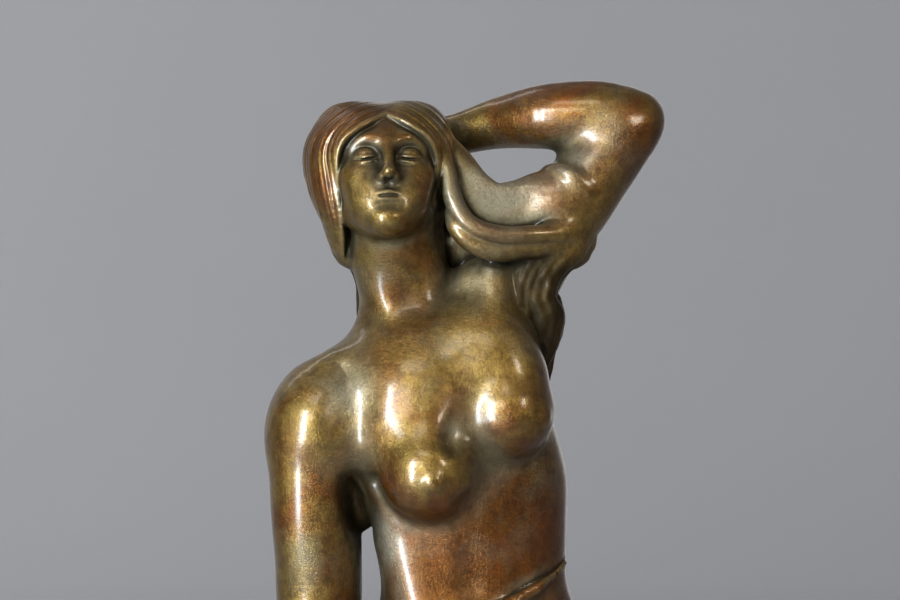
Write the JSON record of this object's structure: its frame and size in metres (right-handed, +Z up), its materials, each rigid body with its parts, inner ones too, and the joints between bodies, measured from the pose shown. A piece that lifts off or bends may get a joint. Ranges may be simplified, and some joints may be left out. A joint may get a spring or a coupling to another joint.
{
  "type": "bronze statuette",
  "caption": "Bronze statuette of a standing woman, draped from the hips, one arm raised behind her head, on a rocky bronze terrace and a round marble plinth.",
  "frame": {"origin": "centre of the felt pad's underside, on the plinth's axis", "axes": "+Z up; the figure faces -Y; +X is to the right seen from the front, on the side of the raised arm"},
  "size_m": [0.09, 0.09, 0.3002],
  "materials": {
    "bronze": "waxed brown patina, rubbed golden on the high places",
    "brass": "turned, unlacquered",
    "steel": "plain zinc-grey",
    "marble": "polished black marble with pale veins",
    "felt": "dark green felt"
  },
  "bodies": {
    "root": {"felt_pad": "felt", "marble_plinth": "marble", "terrace_casting": "bronze", "drapery_casting": "bronze", "body_casting": "bronze", "raised_arm_casting": "bronze", "lowered_arm_casting": "bronze", "hair_tress_casting": "bronze", "central_stud": "steel", "stud_washer": "steel", "stud_nut": "steel", "locating_dowel": "steel", "figure_screws": "brass", "waist_pins": "brass", "raised_arm_pin": "brass", "lowered_arm_pin": "brass", "tress_pins": "brass", "core_plugs": "bronze"}
  },
  "joints": []
}
